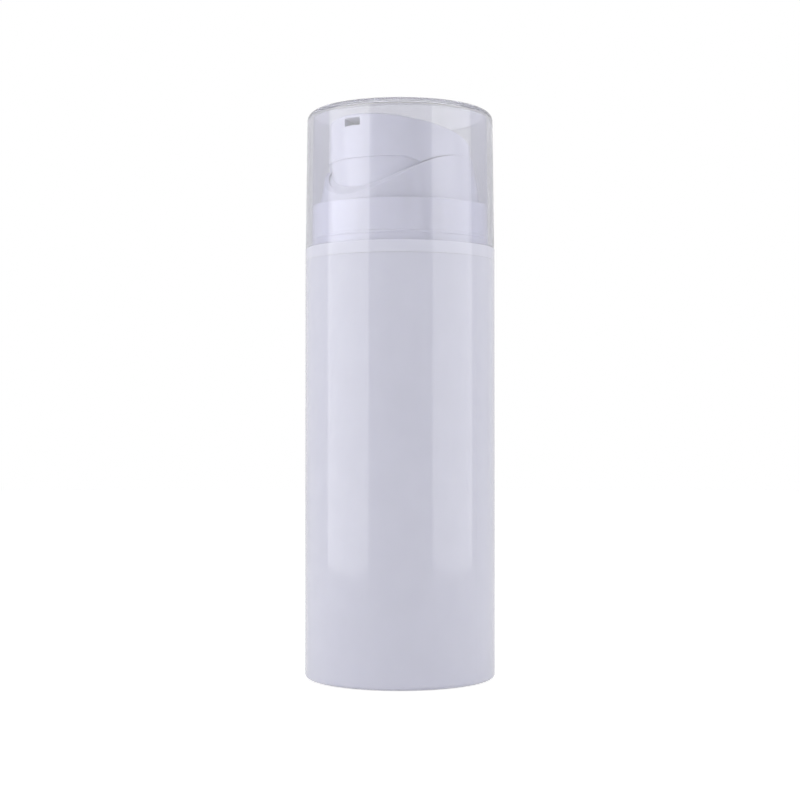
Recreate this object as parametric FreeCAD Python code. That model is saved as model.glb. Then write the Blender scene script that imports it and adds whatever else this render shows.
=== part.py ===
import FreeCAD, Part
import math
import os

# Airless pump bottle, millimetres. The axis is +Z, z = 0 is the foot of the body, the nozzle points to -Y.
# Forward distance from the axis towards the nozzle is called "front" below, so front = -y.

# Bottle body
body_r = 25.0
body_h = 109.3
body_wall = 2.0
base_round = 0.9
seam_round = 0.04
shoulder_t = 2.0
spigot_h = 1.3
neck_wall = 2.2
neck_h = 3.0
snap_h = 0.4
snap_rise = 1.5

# Overcap
cap_inset = 0.07
cap_wall = 1.53
cap_top_wall = 1.7
cap_draft_deg = 0.7
cap_round = 2.2
cap_foot_round = 0.25
cap_in_round = 0.9
cap_clear = 0.2
cap_head_gap = 1.1

# Shoulder collar
band_h = 3.1
band_wall = 1.6
seat_h = 11.0
seat_bead_h = 0.2
seat_bead_low = 1.9
seat_bead_tall = 0.8
collar_wall = 1.3
skirt_wall = 1.7
skirt_gap = 0.9
lip_t = 1.4
lip_reach = 3.6
edge_round = 0.3

# Actuator
stroke = 6.0
stop_gap = 0.6
cowl_wall = 1.2
cowl_run_gap = 0.4
cowl_taper_deg = 9.6
cowl_ledge_t = 1.0
cowl_ledge_reach = 0.5
rim_rise = 11.35
rim_arc_r = 23.8
rim_front_deg = 41.0
rim_back_slope = 0.06
rim_round = 0.15
seam_gap = 0.12
head_step = 0.65
head_rise = 6.1
head_slope_deg = 12.2
head_round = 0.6
head_top_wall = 1.8
nose_reach = 1.0
nose_tuck = 1.5
brow_drop = 1.15
brow_ledge = 0.4
brow_depth = 2.0
brow_fall = 9.0
brow_round = 0.3
scoop_inset = 2.0
scoop_round = 5.5
shelf_drop = 0.35
shelf_t = 1.2
plug_wall = 1.5
plug_flange_t = 1.0
duct_w = 4.9
duct_h = 2.0
duct_cover = 1.1
duct_wall = 1.2
socket_wall = 1.7
socket_depth = 8.4

# Pump
stem_r = 3.5
stem_wall = 1.3
stem_run_gap = 0.2
stem_flange_r = 5.2
stem_flange_t = 1.0
stem_tail = 1.2
chamber_r = 6.0
chamber_wall = 2.0
closure_plug_h = 3.6
closure_plug_step = 1.0
closure_disc_r = 9.5
closure_disc_t = 1.2
guide_wall = 1.3
guide_h = 1.8
flange_t = 1.4
pilot_h = 2.0
pilot_wall = 1.5
gasket_t = 1.0
seal_travel = 5.0
seal_gap = 0.3
seal_h = 5.2
seal_lip_gap = 0.15
seal_lip_h = 1.2
seal_waist = 0.9
seal_bore_gap = 0.5
rod_flange_r = 4.2
rod_flange_t = 1.2
rod_grip = 8.0
rod_flute_r = 0.8
rod_flutes = 3
ball_r = 2.5
ball_lift = 1.2
ball_well_gap = 0.8
ball_seat_gap = 0.1
inlet_r = 1.7
inlet_h = 1.5
nose_wall = 1.7
cage_t = 1.0
cage_hole_r = 1.1
cage_holes = 4
spring_wire = 1.0
spring_gap = 0.8
spring_turns = 6
spring_end_pitch = 1.45
spring_seat_gap = 0.05

# Follower piston and base disc
follower_gap = 0.2
follower_h = 22.0
follower_wall = 1.4
follower_lip_h = 2.2
follower_lip_edge = 0.8
follower_lip_flare = 0.8
follower_crown_drop = 0.9
well_gap = 0.8
well_floor_rise = 0.4
base_recess = 1.2
base_t = 1.6
base_rim_h = 3.0
base_rim_wall = 1.6
base_vent_r = 3.0

# Clearance between pieces that are fixed together, and between a snap and its groove
fit_gap = 0.05
snap_gap = 0.1

# Distance under which two points count as one
touch = 0.001

# Radii, from the outside in
cap_r = body_r - cap_inset
cap_in_r = cap_r - cap_wall
seat_bead_r = cap_in_r - cap_clear
seat_r = seat_bead_r - seat_bead_h
seat_in_r = seat_r - collar_wall
cowl_r = seat_in_r - cowl_run_gap
cowl_in_r = cowl_r - cowl_wall
skirt_r = cowl_in_r - skirt_gap
skirt_in_r = skirt_r - skirt_wall
neck_r = skirt_in_r - snap_gap
neck_in_r = neck_r - neck_wall
lip_r = skirt_r - lip_reach
bore_r = body_r - body_wall
band_in_r = body_r - band_wall
spigot_r = band_in_r - snap_gap

# Heights of the fixed pieces
shoulder_z = body_h + spigot_h
shoulder_under_z = shoulder_z - shoulder_t
snap_z = shoulder_z + snap_rise
neck_z = shoulder_z + neck_h
band_z = body_h + band_h
seat_z = band_z + seat_h
gasket_z = neck_z + gasket_t
flange_z = gasket_z + flange_t
lip_z = flange_z + lip_t
closure_z = flange_z + closure_disc_t
guide_z = closure_z + guide_h
chamber_z = flange_z - closure_plug_h

# Heights of the actuator at rest
cowl_foot_z = band_z + stroke + stop_gap
cone_z = seat_z - stop_gap
plug_foot_z = lip_z + stroke + stop_gap
rim_z = plug_foot_z + rim_rise
ledge_foot_z = plug_foot_z - cowl_ledge_t
brow_z = rim_z - brow_drop
brow_foot_z = brow_z - brow_fall
head_z = rim_z + head_rise
socket_foot_z = guide_z + stroke + stop_gap
stem_top_z = socket_foot_z + socket_depth

# Radii of the actuator
cowl_taper = math.tan(math.radians(cowl_taper_deg))
rim_r = cowl_r - (rim_z - cone_z) * cowl_taper
drum_r = rim_r - head_step
nose_front = drum_r + nose_reach
nose_r = drum_r - nose_tuck
nose_centre = nose_front - nose_r
plug_r = drum_r - brow_depth
cavity_r = plug_r - plug_wall
shelf_under = shelf_drop + shelf_t
plug_flange_r = cowl_in_r - (plug_foot_z + plug_flange_t - cone_z) * cowl_taper - snap_gap
socket_r = stem_r + socket_wall
stem_in_r = stem_r - stem_wall

# Slanted top of the head, and the duct that runs under it
head_slope = math.tan(math.radians(head_slope_deg))
head_peak_z = head_z + nose_front * head_slope
duct_drop = duct_cover + duct_h / 2

# Overcap heights
cap_in_z = head_peak_z + cap_head_gap
cap_z = cap_in_z + cap_top_wall
cap_draft = math.tan(math.radians(cap_draft_deg))

# Pump heights and radii
barrel_r = chamber_r + chamber_wall
guide_r = stem_r + stem_run_gap
counterbore_r = chamber_r + closure_plug_step
stem_stop_z = chamber_z - stem_run_gap
stem_foot_z = stem_stop_z - stem_flange_t - stem_tail
seal_z = stem_foot_z - (stroke - seal_travel) - seal_gap
seal_foot_z = seal_z - seal_h
seal_r = chamber_r - seal_lip_gap
rod_r = stem_in_r - fit_gap
rod_foot_z = seal_foot_z - seal_gap - rod_flange_t
floor_z = rod_foot_z - stroke - stop_gap - cage_t
spring_in_r = socket_r + spring_gap
spring_r = spring_in_r + spring_wire / 2
spring_foot_z = closure_z + spring_seat_gap
spring_head_z = stem_top_z - spring_wire
boss_r = spring_in_r + spring_wire + fit_gap

# Inlet valve: the ball rests on a cone of 45 degrees under the chamber floor
ball_well_r = ball_r + ball_well_gap
ball_top_z = floor_z - seal_gap
ball_z = ball_top_z - ball_lift - ball_r
cone_touch = ball_r / math.sqrt(2)
seat_foot_z = ball_z - ball_seat_gap - 2 * cone_touch + inlet_r
seat_head_z = seat_foot_z + ball_well_r - inlet_r
inlet_z = seat_foot_z - inlet_h
barrel_nose_r = ball_well_r + nose_wall
cage_r = chamber_r - fit_gap
cage_ring_r = ball_well_r - cage_hole_r / 2

# Base disc and follower
base_rim_r = bore_r - fit_gap
base_rim_z = base_recess + base_rim_h
base_snap_z = base_rim_z - snap_h - snap_gap - fit_gap
follower_z = base_rim_z + seal_gap
follower_top_z = follower_z + follower_h
follower_lip_r = bore_r - follower_gap
follower_r = follower_lip_r - follower_lip_flare
follower_in_r = follower_r - follower_wall
crown_z = follower_top_z - follower_crown_drop
well_r = barrel_r + well_gap
well_floor_z = follower_z + well_floor_rise + follower_wall
follower_rise = min(shoulder_under_z - follower_top_z, inlet_z - well_floor_z) - 2 * seal_gap


def vec(x, y, z):
    return FreeCAD.Vector(x, y, z)


def rounded_wire(corners):
    """Closed wire through (point, radius) corners, each radius a tangent arc."""
    edges = []
    count = len(corners)
    cuts = []
    for i in range(count):
        point, radius = corners[i]
        back = (corners[i - 1][0] - point).normalize()
        ahead = (corners[(i + 1) % count][0] - point).normalize()
        half = back.getAngle(ahead) / 2
        reach = radius / math.tan(half)
        inner = (back + ahead).normalize() * (radius / math.sin(half) - radius)
        cuts.append((point + back * reach, point + inner, point + ahead * reach, radius))
    for i in range(count):
        start, middle, end, radius = cuts[i]
        if radius > 0:
            edges.append(Part.Arc(start, middle, end).toShape())
        following = cuts[(i + 1) % count][0]
        edges.append(Part.LineSegment(end, following).toShape())
    return Part.Wire(edges)


def turned(*corners):
    """Solid of revolution about Z from (radius, height) or (radius, height, corner radius) corners."""
    points = [(vec(c[0], 0, c[1]), c[2] if len(c) > 2 else 0) for c in corners]
    face = Part.Face(rounded_wire(points))
    return face.revolve(vec(0, 0, 0), vec(0, 0, 1), 360)


def cylinder(radius, low, high):
    return Part.makeCylinder(radius, high - low, vec(0, 0, low))


def ring(radius, hole_r, low, high):
    return cylinder(radius, low, high).cut(cylinder(hole_r, low, high))


def side_block(width, *points):
    """Block with the given (front, height) outline, centred on the plane of symmetry."""
    corners = [vec(-width / 2, -front, height) for front, height in points]
    face = Part.Face(Part.makePolygon(corners + corners[:1]))
    return face.extrude(vec(width, 0, 0))


def ring_of(shape, count):
    """Copies of a shape, evenly spaced round the axis."""
    copies = []
    for i in range(count):
        copy = shape.copy()
        copy.rotate(vec(0, 0, 0), vec(0, 0, 1), 360 * i / count)
        copies.append(copy)
    return copies


def snap_ridge(radius, z, reach):
    """Corners of a ridge with flanks of 45 degrees, from below upwards."""
    return [(radius, z - reach), (radius + reach, z), (radius, z + reach)]


def bottle_body():
    ridge = snap_ridge(neck_r, snap_z, snap_h)
    groove = snap_ridge(bore_r, base_snap_z, snap_h)
    return turned(
        (bore_r, 0),
        (body_r, 0, base_round),
        (body_r, body_h, seam_round),
        (spigot_r, body_h),
        (spigot_r, shoulder_z),
        (neck_r, shoulder_z),
        *ridge,
        (neck_r, neck_z),
        (neck_in_r, neck_z),
        (neck_in_r, shoulder_under_z),
        (bore_r, shoulder_under_z, edge_round),
        *reversed(groove),
    )


def shoulder_collar():
    bead_low_z = band_z + seat_bead_low
    bead_high_z = bead_low_z + seat_bead_tall
    groove = snap_ridge(skirt_in_r, snap_z, snap_h)
    return turned(
        (band_in_r, body_h),
        (body_r, body_h, seam_round),
        (body_r, band_z, seam_round),
        (seat_r, band_z),
        (seat_r, bead_low_z),
        (seat_bead_r, bead_low_z + seat_bead_h),
        (seat_bead_r, bead_high_z - seat_bead_h),
        (seat_r, bead_high_z),
        (seat_r, seat_z, edge_round),
        (seat_in_r, seat_z, edge_round),
        (seat_in_r, band_z, edge_round),
        (skirt_r, band_z, edge_round),
        (skirt_r, lip_z, edge_round),
        (lip_r, lip_z, edge_round),
        (lip_r, flange_z),
        (skirt_in_r, flange_z),
        *reversed(groove),
        (skirt_in_r, shoulder_z),
        (band_in_r, shoulder_z),
    )


def overcap():
    rise = cap_z - band_z
    in_rise = cap_in_z - band_z
    return turned(
        (cap_in_r, band_z, cap_foot_round),
        (cap_r, band_z, cap_foot_round),
        (cap_r - rise * cap_draft, cap_z, cap_round),
        (0, cap_z),
        (0, cap_in_z),
        (cap_in_r - in_rise * cap_draft, cap_in_z, cap_in_round),
    )


def above_rim(lift):
    """Block above the swept rim: straight at the back, falling in an arc, then straight to the front."""
    span = 2 * body_r
    top_z = cap_z + span
    back_turn = math.atan(rim_back_slope)
    front_turn = math.radians(rim_front_deg)
    arc = []
    for angle in (back_turn, (back_turn + front_turn) / 2, front_turn):
        drop = rim_arc_r * (1 - math.cos(angle))
        arc.append(vec(-body_r, -rim_arc_r * math.sin(angle), rim_z + lift - drop))
    back = vec(-body_r, span, arc[0].z + (span - arc[0].y) * rim_back_slope)
    front = vec(-body_r, -span, arc[2].z - (span + arc[2].y) * math.tan(front_turn))
    corners = [arc[2], front, vec(-body_r, -span, top_z), vec(-body_r, span, top_z), back, arc[0]]
    edges = [Part.LineSegment(a, b).toShape() for a, b in zip(corners, corners[1:])]
    outline = Part.Wire([Part.Arc(*arc).toShape()] + edges)
    return Part.Face(outline).extrude(vec(2 * body_r, 0, 0))


def above_top(drop):
    """Block above the slanted top of the head, lowered by drop."""
    span = 2 * body_r
    return side_block(
        span,
        (-span, head_z - drop - span * head_slope),
        (span, head_z - drop + span * head_slope),
        (span, cap_z + span),
        (-span, cap_z + span),
    )


def actuator_cowl():
    high_z = cap_z
    shrink = (high_z - cone_z) * cowl_taper
    ledge_r = cowl_in_r - cowl_ledge_reach
    sleeve = turned(
        (cowl_in_r, cowl_foot_z),
        (cowl_r, cowl_foot_z, edge_round),
        (cowl_r, cone_z),
        (cowl_r - shrink, high_z),
        (cowl_in_r - shrink, high_z),
        (cowl_in_r, cone_z),
    )
    ledge = ring(cowl_r - cowl_wall / 2, ledge_r, ledge_foot_z, plug_foot_z)
    sleeve = sleeve.fuse(ledge).removeSplitter().cut(above_rim(0))
    rim_faces = [face for face in sleeve.Faces if face.BoundBox.ZMin > plug_foot_z]
    edges = [edge for face in rim_faces for edge in face.Edges]
    rim = [edge for edge in edges if sum(edge.isSame(other) for other in edges) == 1]
    return sleeve.makeFillet(rim_round, rim)


def egg_wire(inset, z):
    """Outline of the head: a round back and a tighter round nose, joined by tangent lines."""
    back_r = drum_r - inset
    front_r = nose_r - inset
    turn = math.acos((drum_r - nose_r) / nose_centre)
    side = back_r * math.sin(turn)
    cheek = front_r * math.sin(turn)
    side_y = -back_r * math.cos(turn)
    cheek_y = -nose_centre - front_r * math.cos(turn)
    right = [vec(side, side_y, z), vec(cheek, cheek_y, z)]
    left = [vec(-side, side_y, z), vec(-cheek, cheek_y, z)]
    return Part.Wire([
        Part.LineSegment(right[0], right[1]).toShape(),
        Part.Arc(right[1], vec(0, -nose_centre - front_r, z), left[1]).toShape(),
        Part.LineSegment(left[1], left[0]).toShape(),
        Part.Arc(left[0], vec(0, back_r, z), right[0]).toShape(),
    ])


def egg_prism(inset, low, high):
    return Part.Face(egg_wire(inset, low)).extrude(vec(0, 0, high - low))


def scoop_block():
    """Block with rounded upper corners that opens the finger recess below the nozzle."""
    half = drum_r - scoop_inset
    outline = rounded_wire([
        (vec(-half, 0, plug_foot_z), 0),
        (vec(-half, 0, brow_z), scoop_round),
        (vec(half, 0, brow_z), scoop_round),
        (vec(half, 0, plug_foot_z), 0),
    ])
    return Part.Face(outline).extrude(vec(0, -2 * body_r, 0))


def cowl_inside():
    """Room inside the cowl's cone, less the gap of the seam."""
    foot_r = cowl_in_r - seam_gap - max(plug_foot_z - cone_z, 0) * cowl_taper
    top_r = cowl_in_r - seam_gap - (cap_z - cone_z) * cowl_taper
    return turned((0, plug_foot_z), (foot_r, plug_foot_z), (top_r, cap_z), (0, cap_z))


def head_drum():
    """Upper body of the head, with its slanted top, above the swept seam and open at the recess."""
    drum = egg_prism(0, plug_foot_z, cap_z).cut(above_top(0))
    top = max(drum.Faces, key=lambda face: face.CenterOfMass.z)
    drum = drum.makeFillet(head_round, top.Edges).cut(scoop_block())
    scoop_low = brow_z - scoop_round - touch
    front = [edge for edge in drum.Edges if edge.BoundBox.YMax < -touch]
    lip = [e for e in front if scoop_low < e.BoundBox.ZMin and e.BoundBox.ZMax < brow_z + touch]
    return drum.makeFillet(brow_round, lip).common(above_rim(seam_gap))


def head_core():
    """Inner body of the head: it leans in below the brow and plugs the cowl."""
    lean = Part.makeLoft([egg_wire(brow_depth, brow_foot_z), egg_wire(brow_ledge, brow_z)], True, True)
    foot = egg_prism(brow_depth, plug_foot_z, brow_foot_z)
    upper = egg_prism(brow_ledge, brow_z, cap_z).cut(above_top(head_round))
    core = lean.fuse([foot, upper]).removeSplitter()
    return core.common(above_rim(seam_gap).fuse(cowl_inside()))


def duct_block(width, back, low, high):
    """Slanted block along the duct, from back to past the nose, between two offsets from its middle."""
    reach = nose_front + duct_w
    centre = head_z - duct_drop
    return side_block(
        width,
        (back, centre + low + back * head_slope),
        (reach, centre + low + reach * head_slope),
        (reach, centre + high + reach * head_slope),
        (back, centre + high + back * head_slope),
    )


def head_cavity():
    """Hollow of the head, left round the stem socket, the spring's upper seat and the duct."""
    hollow = cylinder(cavity_r, plug_foot_z - plug_flange_t, cap_z).cut(above_top(head_top_wall))
    socket = cylinder(socket_r, socket_foot_z, cap_z)
    boss = cylinder(boss_r, spring_head_z, cap_z)
    duct = duct_block(duct_w + 2 * duct_wall, 0, -duct_h / 2 - duct_wall, duct_h)
    return hollow.cut([socket, boss, duct])


def head_shelf():
    """Shelf that closes the cowl's mouth round the core, a little below the swept rim."""
    return cowl_inside().common(above_rim(-shelf_under)).cut(above_rim(-shelf_drop))


def actuator_head():
    flange = cylinder(plug_flange_r, plug_foot_z, plug_foot_z + plug_flange_t)
    flange = flange.cut(above_rim(-shelf_under - seam_gap))
    solid = head_drum().fuse([head_core(), head_shelf(), flange]).removeSplitter()
    stem_hole = cylinder(stem_r + fit_gap, socket_foot_z - fit_gap, stem_top_z + fit_gap)
    riser = cylinder(stem_in_r, stem_top_z, head_z - duct_drop)
    duct = duct_block(duct_w, -stem_in_r, -duct_h / 2, duct_h / 2)
    return solid.cut([head_cavity(), stem_hole, riser, duct])


def pump_stem():
    flange_foot_z = stem_stop_z - stem_flange_t
    return turned(
        (stem_in_r, stem_foot_z),
        (stem_r, stem_foot_z),
        (stem_r, flange_foot_z),
        (stem_flange_r, flange_foot_z),
        (stem_flange_r, stem_stop_z),
        (stem_r, stem_stop_z),
        (stem_r, stem_top_z),
        (stem_in_r, stem_top_z),
    )


def piston_rod():
    shank_foot_z = rod_foot_z + rod_flange_t
    shank_z = stem_foot_z + rod_grip
    flange = cylinder(rod_flange_r, rod_foot_z, shank_foot_z)
    shank = cylinder(rod_r, shank_foot_z, shank_z)
    flute = Part.makeCylinder(rod_flute_r, shank_z - shank_foot_z, vec(rod_r, 0, shank_foot_z))
    return flange.fuse(shank.cut(ring_of(flute, rod_flutes)))


def piston_seal():
    waist_r = seal_r - seal_waist
    bore = rod_r + seal_bore_gap
    return turned(
        (bore, seal_foot_z),
        (seal_r, seal_foot_z),
        (seal_r, seal_foot_z + seal_lip_h),
        (waist_r, seal_foot_z + seal_lip_h + seal_waist),
        (waist_r, seal_z - seal_lip_h - seal_waist),
        (seal_r, seal_z - seal_lip_h),
        (seal_r, seal_z),
        (bore, seal_z),
    )


def pump_closure():
    plug_r_out = counterbore_r - fit_gap
    tube_r = guide_r + guide_wall
    return turned(
        (guide_r, chamber_z),
        (plug_r_out, chamber_z),
        (plug_r_out, flange_z),
        (closure_disc_r, flange_z),
        (closure_disc_r, closure_z),
        (tube_r, closure_z),
        (tube_r, guide_z, edge_round),
        (guide_r, guide_z),
    )


def pump_housing():
    flange_r = neck_r - snap_gap
    pilot_r = neck_in_r - snap_gap
    pilot_z = gasket_z - pilot_h - gasket_t
    taper_z = floor_z - nose_wall
    return turned(
        (inlet_r, inlet_z),
        (barrel_nose_r, inlet_z, edge_round),
        (barrel_nose_r, taper_z - (barrel_r - barrel_nose_r)),
        (barrel_r, taper_z),
        (barrel_r, gasket_z),
        (pilot_r - pilot_wall, gasket_z),
        (pilot_r - pilot_wall, pilot_z),
        (pilot_r, pilot_z),
        (pilot_r, gasket_z),
        (flange_r, gasket_z),
        (flange_r, flange_z),
        (counterbore_r, flange_z),
        (counterbore_r, chamber_z),
        (chamber_r, chamber_z),
        (chamber_r, floor_z),
        (ball_well_r, floor_z),
        (ball_well_r, seat_head_z),
        (inlet_r, seat_foot_z),
    )


def ball_cage():
    disc = cylinder(cage_r, floor_z, floor_z + cage_t)
    hole = Part.makeCylinder(cage_hole_r, cage_t, vec(cage_ring_r, 0, floor_z))
    return disc.cut(ring_of(hole, cage_holes))


def inlet_ball():
    return Part.makeSphere(ball_r, vec(0, 0, ball_z))


def neck_gasket():
    return ring(neck_r - snap_gap, neck_in_r, neck_z, gasket_z)


def follower_piston():
    lip_z_high = follower_top_z - follower_lip_h
    lip_z_low = follower_z + follower_lip_h
    crown_under_z = crown_z - follower_wall
    floor_under_z = well_floor_z - follower_wall
    return turned(
        (0, well_floor_z),
        (well_r, well_floor_z, edge_round),
        (well_r, crown_z, edge_round),
        (follower_in_r, crown_z, edge_round),
        (follower_lip_r - follower_lip_edge, follower_top_z),
        (follower_lip_r, follower_top_z),
        (follower_lip_r, follower_top_z - follower_lip_edge),
        (follower_r, lip_z_high),
        (follower_r, lip_z_low),
        (follower_lip_r, follower_z + follower_lip_edge),
        (follower_lip_r, follower_z),
        (follower_lip_r - follower_lip_edge, follower_z),
        (follower_in_r, lip_z_low),
        (follower_in_r, crown_under_z, edge_round),
        (well_r + follower_wall, crown_under_z, edge_round),
        (well_r + follower_wall, floor_under_z, edge_round),
        (0, floor_under_z),
    )


def base_disc():
    plate_z = base_recess + base_t
    rim_in_r = base_rim_r - base_rim_wall
    return turned(
        (base_vent_r, base_recess),
        (base_rim_r, base_recess, edge_round),
        *snap_ridge(base_rim_r, base_snap_z, snap_h),
        (base_rim_r, base_rim_z),
        (rim_in_r, base_rim_z),
        (rim_in_r, plate_z, edge_round),
        (base_vent_r, plate_z),
    )


def spring_height(turn):
    """Height of the wire's centre: closed end turns, open turns between, eased where they meet."""
    coil_h = spring_head_z - spring_foot_z - spring_wire - 2 * spring_seat_gap
    open_pitch = (coil_h - 2 * spring_end_pitch) / (spring_turns - 2)
    first = min(turn, 1)
    last = max(turn - (spring_turns - 1), 0)
    middle = turn - first - last
    climb = spring_end_pitch * (first + last) + open_pitch * middle
    return spring_foot_z + spring_wire / 2 + spring_seat_gap + climb


def spring_point(turn):
    angle = 2 * math.pi * turn
    return vec(spring_r * math.cos(angle), spring_r * math.sin(angle), spring_height(turn))


def spring_tangent(turn):
    step = 0.05
    low = max(turn - step, 0)
    high = min(turn + step, spring_turns)
    rise = (spring_height(high) - spring_height(low)) / (high - low)
    angle = 2 * math.pi * turn
    round_step = 2 * math.pi * spring_r
    return vec(-round_step * math.sin(angle), round_step * math.cos(angle), rise).normalize()


def tangent_arc(start, corner, end):
    """Arc from start to end whose end tangents meet at corner, an equal way from both."""
    chord_middle = (start + end) / 2
    half_chord = (end - start).Length / 2
    lean = math.acos(half_chord / (corner - start).Length)
    middle = chord_middle + (corner - chord_middle) * (math.tan(lean / 2) / math.tan(lean))
    return Part.Arc(start, middle, end).toShape()


def biarc(turn_low, turn_high):
    """Two arcs that join two points of the coil and share their tangents there and where they meet."""
    start = spring_point(turn_low)
    end = spring_point(turn_high)
    out = spring_tangent(turn_low)
    into = spring_tangent(turn_high)
    span = end - start
    lead = span.dot(out + into)
    spread = 2 * (1 - out.dot(into))
    reach = (-lead + math.sqrt(lead * lead + spread * span.dot(span))) / spread
    corner_low = start + out * reach
    corner_high = end - into * reach
    meet = (corner_low + corner_high) / 2
    return [tangent_arc(start, corner_low, meet), tangent_arc(meet, corner_high, end)]


def spring_gap_least():
    """Least clear distance from one turn to the next, measured on points of the coil."""
    steps = 48
    gaps = []
    for i in range((spring_turns - 1) * steps):
        point = spring_point(i / steps)
        for j in range(i + steps // 2, min(i + 2 * steps, spring_turns * steps) + 1):
            gaps.append(point.distanceToPoint(spring_point(j / steps)) - spring_wire)
    return min(gaps)


def return_spring():
    quarters = [i / 4 for i in range(4 * spring_turns + 1)]
    edges = []
    for low, high in zip(quarters, quarters[1:]):
        edges.extend(biarc(low, high))
    path = Part.Wire(edges)
    section = Part.Wire(Part.makeCircle(spring_wire / 2, spring_point(0), spring_tangent(0)))
    print("spring least gap", round(spring_gap_least(), 3))
    return path.makePipeShell([section], True, False)


pieces = [
    bottle_body,
    base_disc,
    follower_piston,
    shoulder_collar,
    neck_gasket,
    pump_housing,
    ball_cage,
    inlet_ball,
    pump_closure,
    piston_seal,
    piston_rod,
    pump_stem,
    return_spring,
    actuator_cowl,
    actuator_head,
    overcap,
]

os.makedirs("parts", exist_ok=True)
for piece in pieces:
    shape = piece()
    shape.exportStep("parts/" + piece.__name__ + ".step")
    volume = round(shape.Volume, 1)
    print(piece.__name__, "valid", shape.isValid(), "solids", len(shape.Solids), "volume", volume)
print("follower rise", round(follower_rise, 2), "overall height", round(cap_z, 2))
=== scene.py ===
import math
import bpy
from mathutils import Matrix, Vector


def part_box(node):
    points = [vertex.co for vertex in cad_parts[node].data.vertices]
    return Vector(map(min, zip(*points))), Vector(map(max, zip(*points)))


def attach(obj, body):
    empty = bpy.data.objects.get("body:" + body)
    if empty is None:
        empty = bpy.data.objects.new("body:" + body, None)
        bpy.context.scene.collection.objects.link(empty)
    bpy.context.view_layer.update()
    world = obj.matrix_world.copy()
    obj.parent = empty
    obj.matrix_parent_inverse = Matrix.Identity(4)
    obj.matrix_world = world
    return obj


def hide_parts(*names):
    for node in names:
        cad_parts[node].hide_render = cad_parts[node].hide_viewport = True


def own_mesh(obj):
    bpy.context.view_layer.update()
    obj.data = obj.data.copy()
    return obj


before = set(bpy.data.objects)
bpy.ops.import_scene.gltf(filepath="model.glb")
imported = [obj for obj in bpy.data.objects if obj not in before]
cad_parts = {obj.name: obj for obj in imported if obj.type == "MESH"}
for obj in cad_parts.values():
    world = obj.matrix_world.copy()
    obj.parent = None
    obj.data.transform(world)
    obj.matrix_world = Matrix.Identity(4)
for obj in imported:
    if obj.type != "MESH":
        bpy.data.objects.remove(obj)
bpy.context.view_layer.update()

print("frame loaded:", len(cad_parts), "nodes")


# Camera, at the photograph's viewing angle
photoCamera = {
    "azimuth": 38.2,  # degrees, the nozzle points left of the camera
    "distance": 0.419,
    "height": 0.06618,
    "tilt": 0.89,  # degrees above level
    "lens": 71.25,
    "sensor": 36.0,
    "clipNear": 0.01,
    "clipFar": 20.0,
}


def aroundAxis(azimuth, distance, height):  # azimuth 0 is in front of the nozzle
    turn = math.radians(azimuth)
    return Vector((math.sin(turn) * distance, -math.cos(turn) * distance, height))


def makeCamera(look):
    data = bpy.data.cameras.new("photoCamera")
    data.lens = look["lens"]
    data.sensor_width = look["sensor"]
    data.clip_start = look["clipNear"]
    data.clip_end = look["clipFar"]
    camera = bpy.data.objects.new("photoCamera", data)
    camera.location = aroundAxis(look["azimuth"], look["distance"], look["height"])
    camera.rotation_euler = (math.radians(90 + look["tilt"]), 0, math.radians(look["azimuth"]))
    bpy.context.scene.collection.objects.link(camera)
    bpy.context.scene.camera = camera


makeCamera(photoCamera)
print("camera placed")


# Node helpers
def addNode(tree, kind, at, **settings):
    node = tree.nodes.new(kind)
    node.location = at
    for name, value in settings.items():
        setattr(node, name, value)
    return node


def setSockets(node, values):
    for name, value in values.items():
        node.inputs[name].default_value = value


def wire(tree, fromNode, output, toNode, socket):
    tree.links.new(fromNode.outputs[output], toNode.inputs[socket])


def newGroup(name, inputs, outputs):
    group = bpy.data.node_groups.new(name, "ShaderNodeTree")
    for socketName, kind in inputs:
        group.interface.new_socket(socketName, in_out="INPUT", socket_type=kind)
    for socketName, kind in outputs:
        group.interface.new_socket(socketName, in_out="OUTPUT", socket_type=kind)
    start = addNode(group, "NodeGroupInput", (-900, 0))
    end = addNode(group, "NodeGroupOutput", (700, 0))
    return group, start, end


def newMaterial(name, sockets):
    material = bpy.data.materials.new(name)
    material.use_nodes = True
    tree = material.node_tree
    shader = tree.nodes["Principled BSDF"]
    setSockets(shader, sockets)
    return material, tree, shader


def useGroup(tree, group, at, values):
    node = addNode(tree, "ShaderNodeGroup", at, node_tree=group)
    setSockets(node, values)
    return node


# Moulded skin: slow colour drift, a fine satin grain and the slight waviness of a moulded wall
skinNoise = {
    "grain": {"Detail": 3.0, "Roughness": 0.6},
    "wave": {"Detail": 1.0, "Roughness": 0.4},
    "drift": {"From Min": 0.3, "From Max": 0.7, "To Max": 1.0},
    "satin": {"From Min": 0.25, "From Max": 0.75, "To Min": 0.8, "To Max": 1.2},
}


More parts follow.
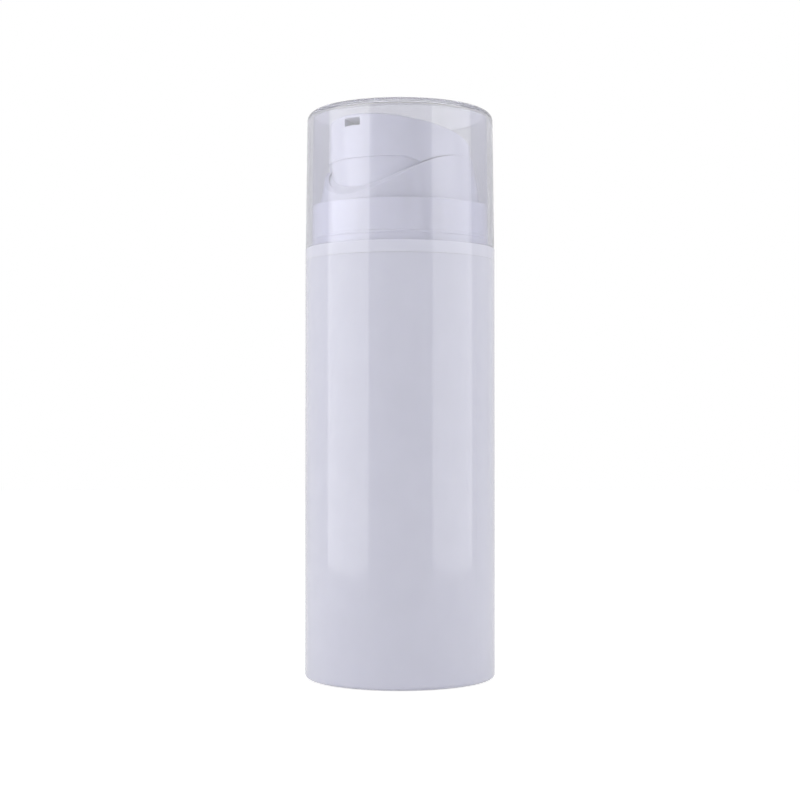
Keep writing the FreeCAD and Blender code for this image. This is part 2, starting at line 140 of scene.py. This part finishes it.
def makeMouldedSkin(look):
    group, start, end = newGroup(
        "mouldedSkin",
        [
            ("Colour", "NodeSocketColor"),
            ("Drift", "NodeSocketFloat"),
            ("Roughness", "NodeSocketFloat"),
            ("Grain Scale", "NodeSocketFloat"),
            ("Wave Scale", "NodeSocketFloat"),
            ("Wave Share", "NodeSocketFloat"),
        ],
        [("Colour", "NodeSocketColor"), ("Roughness", "NodeSocketFloat"), ("Height", "NodeSocketFloat")],
    )
    coords = addNode(group, "ShaderNodeTexCoord", (-900, 300))
    grain = addNode(group, "ShaderNodeTexNoise", (-600, 300))
    setSockets(grain, look["grain"])
    wave = addNode(group, "ShaderNodeTexNoise", (-600, 0))
    setSockets(wave, look["wave"])
    for noise, scale in ((grain, "Grain Scale"), (wave, "Wave Scale")):
        wire(group, coords, "Object", noise, "Vector")
        wire(group, start, scale, noise, "Scale")
    shade = addNode(group, "ShaderNodeMapRange", (-300, 100))  # drift of the colour's brightness
    setSockets(shade, look["drift"])
    darkest = addNode(group, "ShaderNodeMath", (-600, -300), operation="SUBTRACT")
    setSockets(darkest, {0: 1.0})
    wire(group, start, "Drift", darkest, 1)
    wire(group, wave, "Fac", shade, "Value")
    wire(group, darkest, "Value", shade, "To Min")
    tinted = addNode(group, "ShaderNodeVectorMath", (100, 100), operation="SCALE")
    wire(group, start, "Colour", tinted, "Vector")
    wire(group, shade, "Result", tinted, "Scale")
    satin = addNode(group, "ShaderNodeMapRange", (-300, 400))  # roughness wanders with the grain
    setSockets(satin, look["satin"])
    wire(group, grain, "Fac", satin, "Value")
    rough = addNode(group, "ShaderNodeMath", (100, 400), operation="MULTIPLY")
    wire(group, satin, "Result", rough, 0)
    wire(group, start, "Roughness", rough, 1)
    relief = addNode(group, "ShaderNodeMix", (100, -200))
    wire(group, start, "Wave Share", relief, "Factor")
    wire(group, grain, "Fac", relief, "A")
    wire(group, wave, "Fac", relief, "B")
    wire(group, tinted, "Vector", end, "Colour")
    wire(group, rough, "Value", end, "Roughness")
    wire(group, relief, "Result", end, "Height")
    return group


mouldedSkin = makeMouldedSkin(skinNoise)


def mouldedMaterial(name, skin, sockets, relief):
    material, tree, shader = newMaterial(name, sockets)
    surface = useGroup(tree, mouldedSkin, (-500, 100), skin)
    wire(tree, surface, "Colour", shader, "Base Color")
    wire(tree, surface, "Roughness", shader, "Roughness")
    bump = addNode(tree, "ShaderNodeBump", (-250, -200))
    setSockets(bump, relief)
    wire(tree, surface, "Height", bump, "Height")
    wire(tree, bump, "Normal", shader, "Normal")
    return material


# White gloss plastic of the body, collar and actuator
whiteGloss = {
    "skin": {
        "Colour": (0.617, 0.619, 0.704, 1),
        "Drift": 0.015,
        "Roughness": 0.06,
        "Grain Scale": 2600.0,
        "Wave Scale": 160.0,
        "Wave Share": 0.6,
    },
    "sockets": {
        "IOR": 1.5,
        "Subsurface Weight": 1.0,
        "Subsurface Radius": (1.0, 0.98, 1.0),
        "Subsurface Scale": 0.0004,
    },
    "relief": {"Strength": 0.02, "Distance": 0.0002},
}

# The collar is moulded apart from the body. Its white is painted paler than the body's: painted light that
# lifts the shade it sits in under the cap's foot
collarGlossPaintedLight = {**whiteGloss, "skin": {**whiteGloss["skin"], "Colour": (0.652, 0.654, 0.738, 1)}}

# Clear plastic of the overcap
clearPlastic = {
    "skin": {
        "Colour": (0.93, 0.93, 0.96, 1),
        "Drift": 0.01,
        "Roughness": 0.03,
        "Grain Scale": 1800.0,
        "Wave Scale": 90.0,
        "Wave Share": 0.7,
    },
    "sockets": {"IOR": 1.49, "Transmission Weight": 0.9, "Specular Tint": (0.8, 0.8, 0.72, 1)},
    "relief": {"Strength": 0.004, "Distance": 0.0002},
}
clearDepth = {
    "slantBlend": 0.5,
    "slantTint": (0.9, 0.9, 1.0, 1),  # the wall looks deeper where it is seen at a slant
    "lampShare": (0.965, 0.965, 0.96, 1),  # of the lamps' light that goes straight through
}


def addClearDepth(material, depth):
    tree = material.node_tree
    output = tree.nodes["Material Output"]
    shader = tree.nodes["Principled BSDF"]
    skin = shader.inputs["Base Color"].links[0].from_node
    slant = addNode(tree, "ShaderNodeLayerWeight", (-500, 400))
    setSockets(slant, {"Blend": depth["slantBlend"]})
    tint = addNode(tree, "ShaderNodeMixRGB", (-250, 300), blend_type="MULTIPLY")
    setSockets(tint, {"Color2": depth["slantTint"]})
    wire(tree, slant, "Facing", tint, "Fac")
    wire(tree, skin, "Colour", tint, "Color1")
    wire(tree, tint, "Color", shader, "Base Color")
    path = addNode(tree, "ShaderNodeLightPath", (0, 500))
    clear = addNode(tree, "ShaderNodeBsdfTransparent", (0, -450))
    setSockets(clear, {"Color": depth["lampShare"]})
    mix = addNode(tree, "ShaderNodeMixShader", (250, 100))
    wire(tree, path, "Is Shadow Ray", mix, "Fac")
    wire(tree, shader, "BSDF", mix, 1)
    wire(tree, clear, "BSDF", mix, 2)
    wire(tree, mix, "Shader", output, "Surface")


# Uncoloured plastic of the pump, softer plastic of the sliding seals
naturalMatte = {
    "skin": {
        "Colour": (0.73, 0.73, 0.71, 1),
        "Drift": 0.04,
        "Roughness": 0.42,
        "Grain Scale": 3200.0,
        "Wave Scale": 240.0,
        "Wave Share": 0.3,
    },
    "sockets": {"IOR": 1.49},
    "relief": {"Strength": 0.12, "Distance": 0.0002},
}
softMatte = {
    "skin": {
        "Colour": (0.66, 0.67, 0.69, 1),
        "Drift": 0.05,
        "Roughness": 0.55,
        "Grain Scale": 2400.0,
        "Wave Scale": 200.0,
        "Wave Share": 0.4,
    },
    "sockets": {"IOR": 1.51},
    "relief": {"Strength": 0.16, "Distance": 0.0002},
}
gasketRubber = {
    "skin": {
        "Colour": (0.42, 0.42, 0.43, 1),
        "Drift": 0.12,
        "Roughness": 0.75,
        "Grain Scale": 5200.0,
        "Wave Scale": 600.0,
        "Wave Share": 0.3,
    },
    "sockets": {"IOR": 1.52},
    "relief": {"Strength": 0.35, "Distance": 0.0002},
}
springSteel = {
    "skin": {
        "Colour": (0.62, 0.61, 0.6, 1),
        "Drift": 0.1,
        "Roughness": 0.24,
        "Grain Scale": 6000.0,
        "Wave Scale": 900.0,
        "Wave Share": 0.2,
    },
    "sockets": {"Metallic": 1.0},
    "relief": {"Strength": 0.1, "Distance": 0.0001},
}

finishes = {
    "white_gloss": mouldedMaterial("whiteGloss", **whiteGloss),
    "clear_plastic": mouldedMaterial("clearPlastic", **clearPlastic),
    "natural_matte": mouldedMaterial("naturalMatte", **naturalMatte),
    "soft_matte": mouldedMaterial("softMatte", **softMatte),
    "gasket": mouldedMaterial("gasketRubber", **gasketRubber),
    "steel": mouldedMaterial("springSteel", **springSteel),
}
addClearDepth(finishes["clear_plastic"], clearDepth)

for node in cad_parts.values():
    slotName = node.data.materials[0].name
    node.material_slots[0].material = finishes[slotName]
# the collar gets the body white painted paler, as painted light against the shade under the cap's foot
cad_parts["shoulder_collar"].material_slots[0].material = mouldedMaterial("collarGlossPaintedLight", **collarGlossPaintedLight)
print("finishes on the packed pieces:", len(finishes))

smoothBelow = math.radians(40)  # edges that turn by less are shaded smooth


# Return spring, a coil with closed end turns
springCoil = {
    "wire": 0.001,
    "turns": 6,
    "endPitch": 0.00145,
    "stepsPerTurn": 40,
    "wireSides": 14,
    "weld": 0.00001,
}


def makeSpringCoil(coil):
    low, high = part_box("return_spring")
    wireRadius = coil["wire"] / 2
    coilRadius = high.x - wireRadius
    foot = low.z + wireRadius
    climb = high.z - low.z - coil["wire"]
    openTurns = coil["turns"] - 2  # one closed turn at each end
    openPitch = (climb - 2 * coil["endPitch"]) / openTurns
    stretches = [
        (foot, 1, coil["endPitch"]),
        (foot + coil["endPitch"], openTurns, openPitch),
        (foot + coil["endPitch"] + openTurns * openPitch, 1, coil["endPitch"]),
    ]
    bpy.ops.object.select_all(action="DESELECT")
    parts = []
    for start, turns, pitch in stretches:
        bpy.ops.mesh.primitive_circle_add(
            vertices=coil["wireSides"],
            radius=wireRadius,
            location=(coilRadius, 0, start),
            rotation=(math.pi / 2, 0, 0),
        )
        part = bpy.context.object
        bpy.ops.object.transform_apply(location=True, rotation=True, scale=True)
        screw = part.modifiers.new("wind", "SCREW")
        screw.axis = "Z"
        screw.angle = 2 * math.pi
        screw.iterations = turns
        screw.screw_offset = pitch
        screw.steps = coil["stepsPerTurn"]
        screw.render_steps = coil["stepsPerTurn"]
        bpy.ops.object.modifier_apply(modifier=screw.name)
        parts.append(part)
    for part in parts:
        part.select_set(True)
    bpy.context.view_layer.objects.active = parts[0]
    bpy.ops.object.join()
    spring = bpy.context.object
    spring.name = "springCoil"
    bpy.ops.object.mode_set(mode="EDIT")
    bpy.ops.mesh.select_all(action="SELECT")
    bpy.ops.mesh.remove_doubles(threshold=coil["weld"])
    bpy.ops.mesh.select_mode(type="EDGE")
    bpy.ops.mesh.select_all(action="DESELECT")
    bpy.ops.mesh.select_non_manifold()
    bpy.ops.mesh.edge_face_add()  # closes both cut ends of the wire
    bpy.ops.mesh.select_all(action="SELECT")
    bpy.ops.mesh.normals_make_consistent(inside=False)
    bpy.ops.object.mode_set(mode="OBJECT")
    bpy.ops.object.shade_smooth_by_angle(angle=smoothBelow)
    spring.data.materials.clear()
    spring.data.materials.append(finishes["steel"])
    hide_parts("return_spring")
    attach(spring, "bottle")
    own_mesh(spring)


makeSpringCoil(springCoil)
print("spring wound")


# Overcap, a drafted cup with an even wall and smooth round edges
clearCap = {
    "sides": 512,
    "draft": 0.7,  # degrees
    "wall": 0.00153,
    "topRound": 0.0022,
    "topRoundSteps": 14,
    "footRound": 0.00012,
    "footRoundSteps": 3,
    "level": 0.000001,  # an edge within this of a height lies at it
    "downward": -0.9,  # a face whose normal points lower than this is the foot
}


def selectEdgesAt(piece, height, near):  # the level rings of edges at one height
    bpy.ops.object.mode_set(mode="EDIT")
    bpy.ops.mesh.select_mode(type="EDGE")
    bpy.ops.mesh.select_all(action="DESELECT")
    bpy.ops.object.mode_set(mode="OBJECT")
    for edge in piece.data.edges:
        ends = [piece.data.vertices[index].co.z for index in edge.vertices]
        edge.select = all(abs(end - height) < near for end in ends)
    bpy.ops.object.mode_set(mode="EDIT")


def makeClearCap(cup):
    low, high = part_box("overcap")
    rise = high.z - low.z
    bpy.ops.object.select_all(action="DESELECT")
    bpy.ops.mesh.primitive_cone_add(
        vertices=cup["sides"],
        radius1=high.x,
        radius2=high.x - rise * math.tan(math.radians(cup["draft"])),
        depth=rise,
        location=(0, 0, (low.z + high.z) / 2),
    )
    cap = bpy.context.object
    cap.name = "clearCap"
    bpy.ops.object.transform_apply(location=True, rotation=True, scale=True)
    selectEdgesAt(cap, high.z, cup["level"])
    bpy.ops.mesh.bevel(offset=cup["topRound"], segments=cup["topRoundSteps"], profile=0.5, affect="EDGES")
    bpy.ops.mesh.select_mode(type="FACE")
    bpy.ops.mesh.select_all(action="DESELECT")
    bpy.ops.object.mode_set(mode="OBJECT")
    for face in cap.data.polygons:
        face.select = face.normal.z < cup["downward"]
    bpy.ops.object.mode_set(mode="EDIT")
    bpy.ops.mesh.delete(type="ONLY_FACE")  # opens the foot
    bpy.ops.object.mode_set(mode="OBJECT")
    shell = cap.modifiers.new("wall", "SOLIDIFY")
    shell.thickness = cup["wall"]
    shell.offset = -1
    shell.use_even_offset = True
    bpy.ops.object.modifier_apply(modifier=shell.name)
    selectEdgesAt(cap, low.z, cup["level"])
    bpy.ops.mesh.bevel(offset=cup["footRound"], segments=cup["footRoundSteps"], profile=0.5, affect="EDGES")
    bpy.ops.object.mode_set(mode="OBJECT")
    bpy.ops.object.shade_smooth_by_angle(angle=smoothBelow)
    even = cap.modifiers.new("evenNormals", "WEIGHTED_NORMAL")
    even.keep_sharp = True
    bpy.ops.object.modifier_apply(modifier=even.name)
    cap.data.materials.clear()
    cap.data.materials.append(finishes["clear_plastic"])
    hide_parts("overcap")
    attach(cap, "overcap")


makeClearCap(clearCap)
print("clear cap turned")


# Studio: pale floor and backdrop, two large softboxes beside the bottle, even light all round
studio = {
    "floorSize": 4.0,
    "floorDrop": 0.0002,
    "backdropAway": 1.2,
    "backdropWide": 2.4,
    "backdropTall": 2.0,
    "paleColour": (0.85, 0.85, 0.86, 1),
    "worldColour": (1.0, 1.0, 1.0, 1),
    "worldStrength": 0.6,
    "worldThroughClear": 0.85,  # share of it that shows through the clear wall
    "bounces": 24,  # light runs round inside the clear wall
}
floorShown = {
    "colour": (0.45, 0.45, 0.45, 1),  # with the glow about white, darker in a shadow
    "glow": 0.76,
    "inGloss": 0.62,  # share of the glow in the gloss of the bottle's edges
    "throughClear": 1.0,
}
backdropShown = {
    "colour": (0.0, 0.0, 0.0, 1),
    "glow": 1.0,
    "inGloss": 0.74,
    "throughClear": 0.55,  # share of the glow that the clear wall lets the eye see
}
softboxes = {
    "leftSoftbox": {"azimuth": -65.2, "away": 0.32, "wide": 0.352, "tall": 0.42, "radiance": 1.66},
    "rightSoftbox": {"azimuth": 65.9, "away": 0.32, "wide": 0.338, "tall": 0.42, "radiance": 1.4},
}


def paleMaterial(name, colour, shown):
    matte = {"Roughness": 0.9, "Specular IOR Level": 0.0, "Emission Color": (1, 1, 1, 1)}
    material, tree, shader = newMaterial(name, matte)
    path = addNode(tree, "ShaderNodeLightPath", (-1100, 0))
    direct = addNode(tree, "ShaderNodeMath", (-900, 0), operation="MAXIMUM")
    wire(tree, path, "Is Camera Ray", direct, 0)
    wire(tree, path, "Is Glossy Ray", direct, 1)
    seen = addNode(tree, "ShaderNodeMath", (-700, 0), operation="MAXIMUM")
    wire(tree, direct, "Value", seen, 0)
    wire(tree, path, "Is Transmission Ray", seen, 1)
    pale = addNode(tree, "ShaderNodeMixRGB", (-450, 200))
    setSockets(pale, {"Color1": colour, "Color2": shown["colour"]})
    wire(tree, seen, "Value", pale, "Fac")
    wire(tree, pale, "Color", shader, "Base Color")
    mirrored = addNode(tree, "ShaderNodeMapRange", (-700, -300))
    setSockets(mirrored, {"To Min": shown["glow"], "To Max": shown["glow"] * shown["inGloss"]})
    wire(tree, path, "Is Reflection Ray", mirrored, "Value")
    dimmed = addNode(tree, "ShaderNodeMapRange", (-700, -600))
    setSockets(dimmed, {"To Min": 1.0, "To Max": shown["throughClear"]})
    wire(tree, path, "Is Transmission Ray", dimmed, "Value")
    level = addNode(tree, "ShaderNodeMath", (-450, -400), operation="MULTIPLY")
    wire(tree, mirrored, "Result", level, 0)
    wire(tree, dimmed, "Result", level, 1)
    glow = addNode(tree, "ShaderNodeMath", (-250, -200), operation="MULTIPLY")
    wire(tree, seen, "Value", glow, 0)
    wire(tree, level, "Value", glow, 1)
    wire(tree, glow, "Value", shader, "Emission Strength")
    return material


def makeFloor(look, shown):
    bpy.ops.object.select_all(action="DESELECT")
    bpy.ops.mesh.primitive_plane_add(size=look["floorSize"], location=(0, 0, -look["floorDrop"]))
    floor = bpy.context.object
    floor.name = "floor"
    material = paleMaterial("paleFloor", look["paleColour"], shown)
    tree = material.node_tree
    side = addNode(tree, "ShaderNodeNewGeometry", (0, 300))
    clear = addNode(tree, "ShaderNodeBsdfTransparent", (0, -500))
    mix = addNode(tree, "ShaderNodeMixShader", (300, 100))
    wire(tree, side, "Backfacing", mix, "Fac")  # clear from below, so that the foot can be looked at
    wire(tree, tree.nodes["Principled BSDF"], "BSDF", mix, 1)
    wire(tree, clear, "BSDF", mix, 2)
    wire(tree, mix, "Shader", tree.nodes["Material Output"], "Surface")
    floor.data.materials.append(material)


def makeBackdrop(look, shown):
    bpy.ops.object.select_all(action="DESELECT")
    bpy.ops.mesh.primitive_plane_add(
        size=1,
        location=aroundAxis(photoCamera["azimuth"] + 180, look["backdropAway"], look["backdropTall"] / 2),
        rotation=(math.pi / 2, 0, math.radians(photoCamera["azimuth"])),
    )
    backdrop = bpy.context.object
    backdrop.name = "backdrop"
    backdrop.scale = (look["backdropWide"], look["backdropTall"], 1)
    backdrop.data.materials.append(paleMaterial("paleBackdrop", look["paleColour"], shown))


def makeSoftbox(name, box):
    data = bpy.data.lights.new(name, "AREA")
    data.shape = "RECTANGLE"
    data.size = box["wide"]
    data.size_y = box["tall"]
    data.energy = box["radiance"] * math.pi * box["wide"] * box["tall"]
    lamp = bpy.data.objects.new(name, data)
    azimuth = photoCamera["azimuth"] + box["azimuth"]
    lamp.location = aroundAxis(azimuth, box["away"], box["tall"] / 2)
    lamp.rotation_euler = (math.pi / 2, 0, math.radians(azimuth))
    lamp.visible_camera = False
    bpy.context.scene.collection.objects.link(lamp)


def makeWorld(look):
    world = bpy.data.worlds.new("evenLight")
    world.use_nodes = True
    tree = world.node_tree
    sky = tree.nodes["Background"]
    setSockets(sky, {"Color": look["worldColour"]})
    path = addNode(tree, "ShaderNodeLightPath", (-500, 0))
    level = addNode(tree, "ShaderNodeMapRange", (-250, 0))
    full = look["worldStrength"]
    setSockets(level, {"To Min": full, "To Max": full * look["worldThroughClear"]})
    wire(tree, path, "Is Transmission Ray", level, "Value")
    shown = addNode(tree, "ShaderNodeMath", (-50, 0), operation="MAXIMUM")  # white to the eye
    wire(tree, level, "Result", shown, 0)
    wire(tree, path, "Is Camera Ray", shown, 1)
    wire(tree, shown, "Value", sky, "Strength")
    bpy.context.scene.world = world


makeFloor(studio, floorShown)
makeBackdrop(studio, backdropShown)
for boxName, box in softboxes.items():
    makeSoftbox(boxName, box)
makeWorld(studio)
bpy.context.scene.view_settings.view_transform = "Standard"
for bounces in ("max_bounces", "glossy_bounces", "transmission_bounces"):
    setattr(bpy.context.scene.cycles, bounces, studio["bounces"])
print("studio lit")
